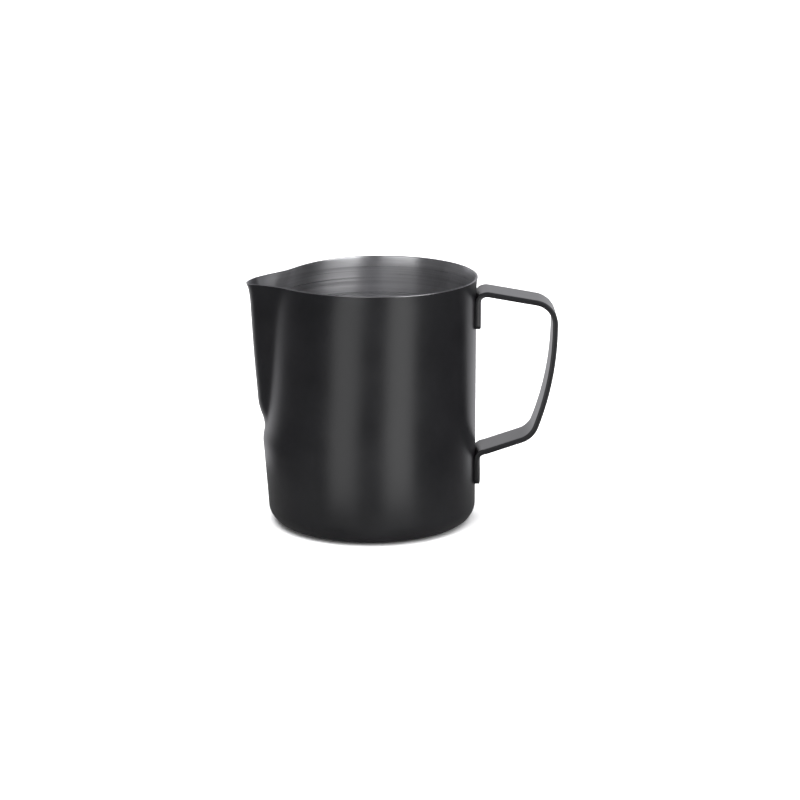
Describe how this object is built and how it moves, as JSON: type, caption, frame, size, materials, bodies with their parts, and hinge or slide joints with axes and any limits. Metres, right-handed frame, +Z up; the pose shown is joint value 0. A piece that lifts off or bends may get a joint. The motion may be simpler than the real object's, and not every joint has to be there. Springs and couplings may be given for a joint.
{
  "type": "milk frothing pitcher",
  "caption": "Straight-sided steel milk jug with a pressed pouring spout, dark outer coating, bare brushed inside and a welded bent-strap handle.",
  "frame": {"origin": "on the jug's axis, on the plane it stands on", "axes": "+Z up, handle towards +X, spout towards -X; symmetric about the XZ plane"},
  "size_m": [0.1333, 0.09, 0.1074],
  "materials": {
    "bare_steel": "brushed round the axis",
    "dark_coating": "matt, finely textured",
    "weld_steel": "as welded"
  },
  "bodies": {
    "root": {"jug_body": "bare_steel", "body_coating": "dark_coating", "handle_strap": "dark_coating", "upper_foot_welds": "weld_steel", "lower_foot_welds": "weld_steel"}
  },
  "joints": []
}
